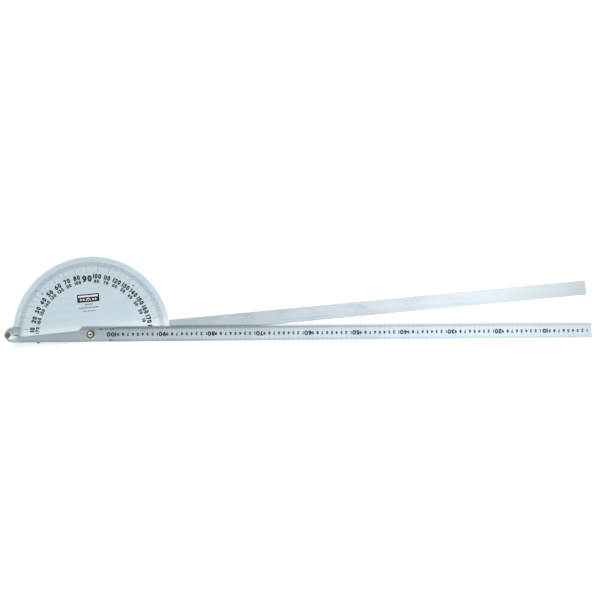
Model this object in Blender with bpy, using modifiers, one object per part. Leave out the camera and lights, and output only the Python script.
"""A double-arm half-round protractor for the drawing board, in metres, +Z up.

The origin is on the pivot's axis, on the underside that lies on the board. +X runs along the base beam
to its free end, and +Y points at the 90 degree mark. The rule is modelled along its own x axis and then
turned about the pivot.
"""

import math

import bmesh
import bpy
from mathutils import Vector

MM = 0.001

# Driving dimensions
GAP = 0.3 * MM  # between pieces that lie on one another, and round a shank in a clearance hole
RUNNING_FIT = 0.1 * MM  # radial clearance of the rule on its stud
READING = 5.0  # degrees between the rule and the base beam as it lies

PLATE_RADIUS = 160 * MM
PLATE_THICKNESS = 1.2 * MM
ARM_WIDTH = 30 * MM  # the base beam and the rule are the same width

BEAM_LENGTH_RIGHT = 1041 * MM
BEAM_LENGTH_LEFT = 125 * MM
BEAM_THICKNESS = 2.0 * MM

RULE_LENGTH = 1045 * MM  # from the pivot to the zero end
RULE_THICKNESS = 1.5 * MM
SHOULDER_TOP = -18 * MM  # where the full width ends behind the pivot
SHOULDER_FOOT = (-26 * MM, 6.2 * MM)
READING_EDGE = -146.3 * MM
POINTER_TIP = -5.5 * MM  # height of the pointer's upper edge where it meets the reading edge
CLAMP_RADIUS = 163 * MM  # from the pivot to the clamp screw, outside the plate's rim
HEAD_CENTRE = 159.5 * MM  # from the pivot to the middle of the round head, which is short of the screw

RIVET_REACH = 108 * MM
RIVET_OFFSET = -4.5 * MM
RIVET_PLACES = (("left", -RIVET_REACH), ("right", RIVET_REACH))
RIVET_HEAD_RADIUS = 3.7 * MM
RIVET_HEAD_HEIGHT = 1.1 * MM
RIVET_SHANK_RADIUS = 2.0 * MM
RIVET_FOOT_RADIUS = 3.4 * MM
RIVET_FOOT_DEPTH = 1.0 * MM

STUD_HEAD_RADIUS = 8.0 * MM
STUD_HEAD_THICKNESS = 1.2 * MM
STUD_SHOULDER_RADIUS = 5.0 * MM
STUD_THREAD_RADIUS = 3.9 * MM
STUD_SLOT_WIDTH = 1.3 * MM
STUD_SLOT_DEPTH = 1.1 * MM
STUD_BELOW_NUT = 0.3 * MM
SPACER_RADIUS = 9.0 * MM
SPACER_THICKNESS = 1.4 * MM
PIVOT_WASHER_RADIUS = 9.5 * MM
PIVOT_WASHER_THICKNESS = 0.8 * MM
SPRING_WASHER_RADIUS = 6.5 * MM
SPRING_WASHER_THICKNESS = 0.8 * MM
SPRING_WASHER_SPLIT = 1.0 * MM
NUT_RADIUS = 8.25 * MM
NUT_HEIGHT = 4.2 * MM
NUT_KNURLS = 32

CLAMP_SCREW_RADIUS = 2.2 * MM
DIMPLE_RADIUS = 1.1 * MM  # drilled in the screw's upper end
DIMPLE_DEPTH = 0.8 * MM
CLAMP_WASHER_RADIUS = 7.8 * MM
CLAMP_WASHER_THICKNESS = 0.8 * MM
CLAMP_KNOB_RADIUS = 7.1 * MM
CLAMP_KNOB_HEIGHT = 12.0 * MM
CLAMP_KNOB_KNURLS = 28
SHOE_THICKNESS = 1.2 * MM
SHOE_WIDTH = 14 * MM
SHOE_REACH_IN = 11 * MM  # from the clamp screw in under the rim
SHOE_REACH_OUT = 8 * MM
SHOE_HEEL_LENGTH = 4 * MM
SHOE_CORNER = 2 * MM

KNURL_DEPTH = 0.25 * MM
EDGE_BREAK = 0.5 * MM  # chamfer on the knob and the nut
TURNED_STEPS = 48
RIVET_STEPS = 24
MERGE = 0.00001
OVERSHOOT = 1 * MM  # how far a cutter passes the face it cuts

# Levels, from the board up
PLATE_LOW = BEAM_THICKNESS + GAP
PLATE_HIGH = PLATE_LOW + PLATE_THICKNESS
SPACER_LOW = PLATE_HIGH + GAP
SPACER_HIGH = SPACER_LOW + SPACER_THICKNESS
RULE_LOW = SPACER_HIGH + GAP
RULE_HIGH = RULE_LOW + RULE_THICKNESS
WASHER_LOW = RULE_HIGH + GAP
PIVOT_WASHER_HIGH = WASHER_LOW + PIVOT_WASHER_THICKNESS
NUT_LOW = PIVOT_WASHER_HIGH + GAP
NUT_HIGH = NUT_LOW + NUT_HEIGHT
SPRING_WASHER_HIGH = NUT_LOW + SPRING_WASHER_THICKNESS
CLAMP_WASHER_HIGH = WASHER_LOW + CLAMP_WASHER_THICKNESS
KNOB_LOW = CLAMP_WASHER_HIGH + GAP
KNOB_HIGH = KNOB_LOW + CLAMP_KNOB_HEIGHT
SHOE_HIGH = PLATE_LOW - GAP
SHOE_LOW = SHOE_HIGH - SHOE_THICKNESS

FINISHES = {  # colour, metallic, roughness
    "brushed_plate": ((0.66, 0.72, 0.76), 1.0, 0.38),
    "brushed_beam": ((0.62, 0.68, 0.71), 1.0, 0.34),
    "brushed_rule": ((0.62, 0.69, 0.73), 1.0, 0.32),
    "plain_steel": ((0.50, 0.52, 0.53), 1.0, 0.35),
    "dark_steel": ((0.24, 0.25, 0.24), 1.0, 0.40),
    "brass": ((0.72, 0.58, 0.34), 1.0, 0.28),
    "nickel": ((0.74, 0.73, 0.66), 1.0, 0.22),
}


def clear_scene():
    for thing in list(bpy.data.objects):
        bpy.data.objects.remove(thing, do_unlink=True)


def make_collection(name):
    collection = bpy.data.collections.new(name)
    bpy.context.scene.collection.children.link(collection)
    return collection


def make_material(name, finish):
    colour, metallic, roughness = FINISHES[finish]
    material = bpy.data.materials.new(name)
    material.use_nodes = True
    shader = material.node_tree.nodes["Principled BSDF"]
    shader.inputs["Base Color"].default_value = (*colour, 1.0)
    shader.inputs["Metallic"].default_value = metallic
    shader.inputs["Roughness"].default_value = roughness
    return material


clear_scene()
PARTS = make_collection("double_arm_protractor")
CUTTERS = make_collection("cutters")


def add_object(name, mesh, finish=None, parent=None, place=(0, 0, 0)):
    """A piece in its finish, or a cutter when it has none."""
    thing = bpy.data.objects.new(name, mesh)
    if finish:
        mesh.materials.clear()
        mesh.materials.append(make_material(name, finish))
        PARTS.objects.link(thing)
    else:
        thing.hide_render = True
        thing.display_type = "WIRE"
        CUTTERS.objects.link(thing)
    thing.parent = parent
    thing.location = place
    return thing


def add_axis(name, parent=None, place=(0, 0, 0), turn=0.0):
    """An empty on a joint's axis, which carries the pieces that turn about it."""
    axis = bpy.data.objects.new(name, None)
    axis.empty_display_size = 0.02
    axis.parent = parent
    axis.location = place
    axis.rotation_euler = (0, 0, turn)
    PARTS.objects.link(axis)
    return axis


def arc(centre, radius, start, end, steps):
    """Points along an arc, both ends included, angles in degrees."""
    points = []
    for i in range(steps + 1):
        angle = math.radians(start + (end - start) * i / steps)
        points.append((centre[0] + radius * math.cos(angle), centre[1] + radius * math.sin(angle)))
    return points


def outline_mesh(name, outline, low, high):
    """A flat sheet of a closed outline, as a welded mesh between two levels."""
    curve = bpy.data.curves.new(name, "CURVE")
    curve.dimensions = "2D"
    curve.fill_mode = "BOTH"
    curve.extrude = (high - low) / 2
    spline = curve.splines.new("POLY")
    spline.points.add(len(outline) - 1)
    for point, (x, y) in zip(spline.points, outline, strict=True):
        point.co = (x, y, 0, 1)
    spline.use_cyclic_u = True
    drawn = bpy.data.objects.new(name, curve)
    bpy.context.scene.collection.objects.link(drawn)
    depsgraph = bpy.context.evaluated_depsgraph_get()
    mesh = bpy.data.meshes.new_from_object(drawn.evaluated_get(depsgraph))
    bpy.data.objects.remove(drawn, do_unlink=True)
    work = bmesh.new()
    work.from_mesh(mesh)
    bmesh.ops.remove_doubles(work, verts=work.verts, dist=MERGE)
    bmesh.ops.translate(work, verts=work.verts, vec=(0, 0, (low + high) / 2))
    bmesh.ops.recalc_face_normals(work, faces=work.faces)
    work.to_mesh(mesh)
    work.free()
    mesh.name = name
    return mesh


def profile_mesh(name, profile, closed):
    """A radius and height profile in the XZ plane, which runs down its outer side."""
    mesh = bpy.data.meshes.new(name)
    work = bmesh.new()
    verts = [work.verts.new((radius, 0, height)) for radius, height in profile]
    for first, second in zip(verts, verts[1:]):
        work.edges.new((first, second))
    if closed:
        work.edges.new((verts[-1], verts[0]))
    work.to_mesh(mesh)
    work.free()
    return mesh


def turned(name, profile, finish, closed=True, parent=None, place=(0, 0, 0), steps=TURNED_STEPS):
    """A turned piece. A closed profile is a ring, and an open one starts and ends on the axis."""
    thing = add_object(name, profile_mesh(name, profile, closed), finish, parent, place)
    screw = thing.modifiers.new("turn", "SCREW")
    screw.axis = "Z"
    screw.angle = math.tau
    screw.steps = steps
    screw.render_steps = steps
    screw.use_merge_vertices = True
    screw.merge_threshold = MERGE
    screw.use_smooth_shade = True
    return thing


def ring(name, outer, inner, low, high, finish, parent=None, place=(0, 0, 0)):
    profile = [(outer, high), (outer, low), (inner, low), (inner, high)]
    return turned(name, profile, finish, parent=parent, place=place)


def round_cutter(name, radius, low, high, x=0.0, y=0.0, sides=TURNED_STEPS):
    mesh = bpy.data.meshes.new(name)
    work = bmesh.new()
    bmesh.ops.create_cone(
        work,
        cap_ends=True,
        segments=sides,
        radius1=radius,
        radius2=radius,
        depth=high - low,
    )
    bmesh.ops.translate(work, verts=work.verts, vec=(x, y, (low + high) / 2))
    work.to_mesh(mesh)
    work.free()
    return add_object(name, mesh)


def rivet_cutter(name, radius, low, high, x):
    return round_cutter(name, radius, low, high, x, RIVET_OFFSET, RIVET_STEPS)


def box_cutter(name, low, high):
    mesh = bpy.data.meshes.new(name)
    work = bmesh.new()
    bmesh.ops.create_cube(work, size=1)
    size = Vector(high) - Vector(low)
    bmesh.ops.scale(work, verts=work.verts, vec=size)
    bmesh.ops.translate(work, verts=work.verts, vec=Vector(low) + size / 2)
    work.to_mesh(mesh)
    work.free()
    return add_object(name, mesh)


def cut(thing, cutter):
    """Cut a piece with a cutter drawn in the piece's own frame."""
    cutter.parent = thing
    boolean = thing.modifiers.new(cutter.name, "BOOLEAN")
    boolean.operation = "DIFFERENCE"
    boolean.solver = "EXACT"
    boolean.object = cutter


def knurled_mesh(name, radius, low, high, teeth, bore):
    """A barrel with straight knurls, chamfered at both ends, round a plain bore."""
    mesh = bpy.data.meshes.new(name)
    work = bmesh.new()
    sides = teeth * 2
    levels = ((low, -EDGE_BREAK), (low + EDGE_BREAK, 0), (high - EDGE_BREAK, 0), (high, -EDGE_BREAK))
    rings = []
    for height, inset in levels:
        circle = []
        for i in range(sides):
            depth = KNURL_DEPTH if i % 2 and not inset else 0.0
            reach = radius + inset - depth
            angle = math.tau * i / sides
            circle.append(work.verts.new((reach * math.cos(angle), reach * math.sin(angle), height)))
        rings.append(circle)
    for lower, upper in zip(rings, rings[1:]):
        for i in range(sides):
            j = (i + 1) % sides
            work.faces.new((lower[i], lower[j], upper[j], upper[i]))
    inner_low = [work.verts.new((*(vert.co.xy.normalized() * bore), low)) for vert in rings[0]]
    inner_high = [work.verts.new((*(vert.co.xy.normalized() * bore), high)) for vert in rings[0]]
    for i in range(sides):
        j = (i + 1) % sides
        work.faces.new((inner_low[j], inner_low[i], inner_high[i], inner_high[j]))
        work.faces.new((rings[0][j], rings[0][i], inner_low[i], inner_low[j]))
        work.faces.new((rings[-1][i], rings[-1][j], inner_high[j], inner_high[i]))
    bmesh.ops.recalc_face_normals(work, faces=work.faces)
    work.to_mesh(mesh)
    work.free()
    return mesh


def shade_round(thing, angle=30):
    thing.data.shade_smooth()
    thing.data.set_sharp_from_angle(angle=math.radians(angle))


def make_plate():
    """The half-round plate, whose straight edge is flush with the beam's lower edge."""
    drop = math.degrees(math.asin(ARM_WIDTH / 2 / PLATE_RADIUS))
    outline = arc((0, 0), PLATE_RADIUS, -drop, 180 + drop, 120)
    sheet = outline_mesh("protractor_plate", outline, PLATE_LOW, PLATE_HIGH)
    plate = add_object("protractor_plate", sheet, "brushed_plate")
    below, above = PLATE_LOW - OVERSHOOT, PLATE_HIGH + OVERSHOOT
    cut(plate, round_cutter("plate_stud_hole", STUD_SHOULDER_RADIUS + GAP, below, above))
    for side, x in RIVET_PLACES:
        cut(plate, rivet_cutter(f"plate_rivet_hole_{side}", RIVET_SHANK_RADIUS + GAP, below, above, x))


def make_beam():
    """The plain bar, with countersinks for the rivets and a sunk seat for the stud's head."""
    half = ARM_WIDTH / 2
    left, right = -BEAM_LENGTH_LEFT, BEAM_LENGTH_RIGHT
    outline = [(left, -half), (right, -half), (right, half), (left, half)]
    beam = add_object("base_beam", outline_mesh("base_beam", outline, 0, BEAM_THICKNESS), "brushed_beam")
    above = BEAM_THICKNESS + OVERSHOOT
    cut(beam, round_cutter("beam_stud_hole", STUD_SHOULDER_RADIUS + GAP, -OVERSHOOT, above))
    cut(beam, round_cutter("beam_stud_seat", STUD_HEAD_RADIUS + GAP, -OVERSHOOT, STUD_HEAD_THICKNESS + GAP))
    seat_high = RIVET_FOOT_DEPTH + GAP
    for side, x in RIVET_PLACES:
        cut(beam, rivet_cutter(f"beam_rivet_hole_{side}", RIVET_SHANK_RADIUS + GAP, -OVERSHOOT, above, x))
        cut(beam, rivet_cutter(f"beam_rivet_seat_{side}", RIVET_FOOT_RADIUS + GAP, -OVERSHOOT, seat_high, x))


def make_rivets():
    """Round-headed rivets, whose feet are set flush in the beam's underside."""
    head_low = PLATE_HIGH + GAP
    dome_steps = 6
    dome = []
    for i in range(dome_steps):
        angle = math.pi / 2 * i / dome_steps
        dome.append((RIVET_HEAD_RADIUS * math.sin(angle), head_low + RIVET_HEAD_HEIGHT * math.cos(angle)))
    profile = dome + [
        (RIVET_HEAD_RADIUS, head_low),
        (RIVET_SHANK_RADIUS, head_low),
        (RIVET_SHANK_RADIUS, RIVET_FOOT_DEPTH),
        (RIVET_FOOT_RADIUS, RIVET_FOOT_DEPTH),
        (RIVET_FOOT_RADIUS, 0),
        (0, 0),
    ]
    for side, x in RIVET_PLACES:
        place = (x, RIVET_OFFSET, 0)
        turned(f"beam_rivet_{side}", profile, "plain_steel", closed=False, place=place, steps=RIVET_STEPS)


def make_pivot():
    """The slotted stud and the washers that ride on it."""
    stud_top = NUT_HIGH - STUD_BELOW_NUT
    profile = [
        (0, stud_top),
        (STUD_THREAD_RADIUS, stud_top),
        (STUD_THREAD_RADIUS, RULE_HIGH),
        (STUD_SHOULDER_RADIUS, RULE_HIGH),
        (STUD_SHOULDER_RADIUS, STUD_HEAD_THICKNESS),
        (STUD_HEAD_RADIUS, STUD_HEAD_THICKNESS),
        (STUD_HEAD_RADIUS, 0),
        (0, 0),
    ]
    stud = turned("pivot_stud", profile, "plain_steel", closed=False)
    reach = STUD_THREAD_RADIUS + OVERSHOOT
    half = STUD_SLOT_WIDTH / 2
    slot_low = (-reach, -half, stud_top - STUD_SLOT_DEPTH)
    cut(stud, box_cutter("stud_slot", slot_low, (reach, half, stud_top + OVERSHOOT)))
    ring("pivot_spacer", SPACER_RADIUS, STUD_SHOULDER_RADIUS + GAP, SPACER_LOW, SPACER_HIGH, "plain_steel")


def make_pivot_nut():
    """The knurled nut, hollow underneath for the spring washer."""
    bore = STUD_THREAD_RADIUS + GAP
    barrel = knurled_mesh("pivot_nut", NUT_RADIUS, NUT_LOW, NUT_HIGH, NUT_KNURLS, bore)
    nut = add_object("pivot_nut", barrel, "brass")
    recess_low, recess_high = NUT_LOW - OVERSHOOT, SPRING_WASHER_HIGH + GAP
    cut(nut, round_cutter("nut_recess", SPRING_WASHER_RADIUS + GAP, recess_low, recess_high))
    shade_round(nut)
    outer, high = SPRING_WASHER_RADIUS, SPRING_WASHER_HIGH
    spring = ring("pivot_spring_washer", outer, bore, NUT_LOW, high, "dark_steel")
    half = SPRING_WASHER_SPLIT / 2
    split_low = (0, -half, NUT_LOW - OVERSHOOT)
    split_high = (outer + OVERSHOOT, half, high + OVERSHOOT)
    cut(spring, box_cutter("spring_washer_split", split_low, split_high))


def make_rule(arm_axis):
    """Scale, shoulder, tapered pointer, reading edge and round head, cut from one sheet."""
    half = ARM_WIDTH / 2
    head = arc((-HEAD_CENTRE, 0), half, 90, 270, 32)
    outline = [
        (RULE_LENGTH, -half),
        (RULE_LENGTH, half),
        (SHOULDER_TOP, half),
        SHOULDER_FOOT,
        (READING_EDGE, POINTER_TIP),
        (READING_EDGE, half),
        *head,
    ]
    sheet = outline_mesh("rule_arm", outline, RULE_LOW, RULE_HIGH)
    rule = add_object("rule_arm", sheet, "brushed_rule", arm_axis)
    below, above = RULE_LOW - OVERSHOOT, RULE_HIGH + OVERSHOOT
    cut(rule, round_cutter("rule_stud_hole", STUD_SHOULDER_RADIUS + RUNNING_FIT, below, above))
    cut(rule, round_cutter("rule_clamp_hole", CLAMP_SCREW_RADIUS + GAP, below, above, -CLAMP_RADIUS))
    bore = STUD_THREAD_RADIUS + GAP
    ring("pivot_washer", PIVOT_WASHER_RADIUS, bore, WASHER_LOW, PIVOT_WASHER_HIGH, "brass", parent=arm_axis)


def shoe_outline():
    """A strip along the arm, about the clamp screw, with its outer end round."""
    half = SHOE_WIDTH / 2
    inner = SHOE_REACH_IN - SHOE_CORNER
    return [
        *arc((inner, half - SHOE_CORNER), SHOE_CORNER, 0, 90, 6),
        *arc((half - SHOE_REACH_OUT, 0), half, 90, 270, 18),
        *arc((inner, SHOE_CORNER - half), SHOE_CORNER, 270, 360, 6),
    ]


def make_clamp(clamp_axis):
    """Pad, washer, screw, knob and shoe, all about the clamp screw's axis."""
    bore = CLAMP_SCREW_RADIUS + GAP
    outline = shoe_outline()

    strip = outline_mesh("clamp_pad", outline, SPACER_LOW, SPACER_HIGH)
    pad = add_object("clamp_pad", strip, "plain_steel", clamp_axis)
    cut(pad, round_cutter("pad_hole", bore, SPACER_LOW - OVERSHOOT, SPACER_HIGH + OVERSHOOT))

    ring("clamp_washer", CLAMP_WASHER_RADIUS, bore, WASHER_LOW, CLAMP_WASHER_HIGH, "brass", clamp_axis)

    profile = [
        (0, KNOB_HIGH - DIMPLE_DEPTH),
        (DIMPLE_RADIUS, KNOB_HIGH - DIMPLE_DEPTH),
        (DIMPLE_RADIUS, KNOB_HIGH),
        (CLAMP_SCREW_RADIUS, KNOB_HIGH),
        (CLAMP_SCREW_RADIUS, SHOE_LOW),
        (0, SHOE_LOW),
    ]
    turned("clamp_screw", profile, "dark_steel", closed=False, parent=clamp_axis)

    barrel = knurled_mesh("clamp_knob", CLAMP_KNOB_RADIUS, KNOB_LOW, KNOB_HIGH, CLAMP_KNOB_KNURLS, bore)
    shade_round(add_object("clamp_knob", barrel, "nickel", clamp_axis))

    block = outline_mesh("clamp_shoe", outline, SHOE_LOW, PLATE_HIGH)
    shoe = add_object("clamp_shoe", block, "plain_steel", clamp_axis)
    step_low = (-SHOE_REACH_OUT + SHOE_HEEL_LENGTH, -SHOE_WIDTH, SHOE_HIGH)
    step_high = (SHOE_REACH_IN + OVERSHOOT, SHOE_WIDTH, PLATE_HIGH + OVERSHOOT)
    cut(shoe, box_cutter("shoe_step", step_low, step_high))
    cut(shoe, round_cutter("shoe_hole", bore, SHOE_LOW - OVERSHOOT, SHOE_HIGH + OVERSHOOT))


def main():
    make_plate()
    make_beam()
    make_rivets()
    make_pivot()
    make_pivot_nut()
    arm_axis = add_axis("arm_pivot_axis", turn=-math.radians(READING))
    make_rule(arm_axis)
    make_clamp(add_axis("clamp_screw_axis", arm_axis, (-CLAMP_RADIUS, 0, 0)))


main()
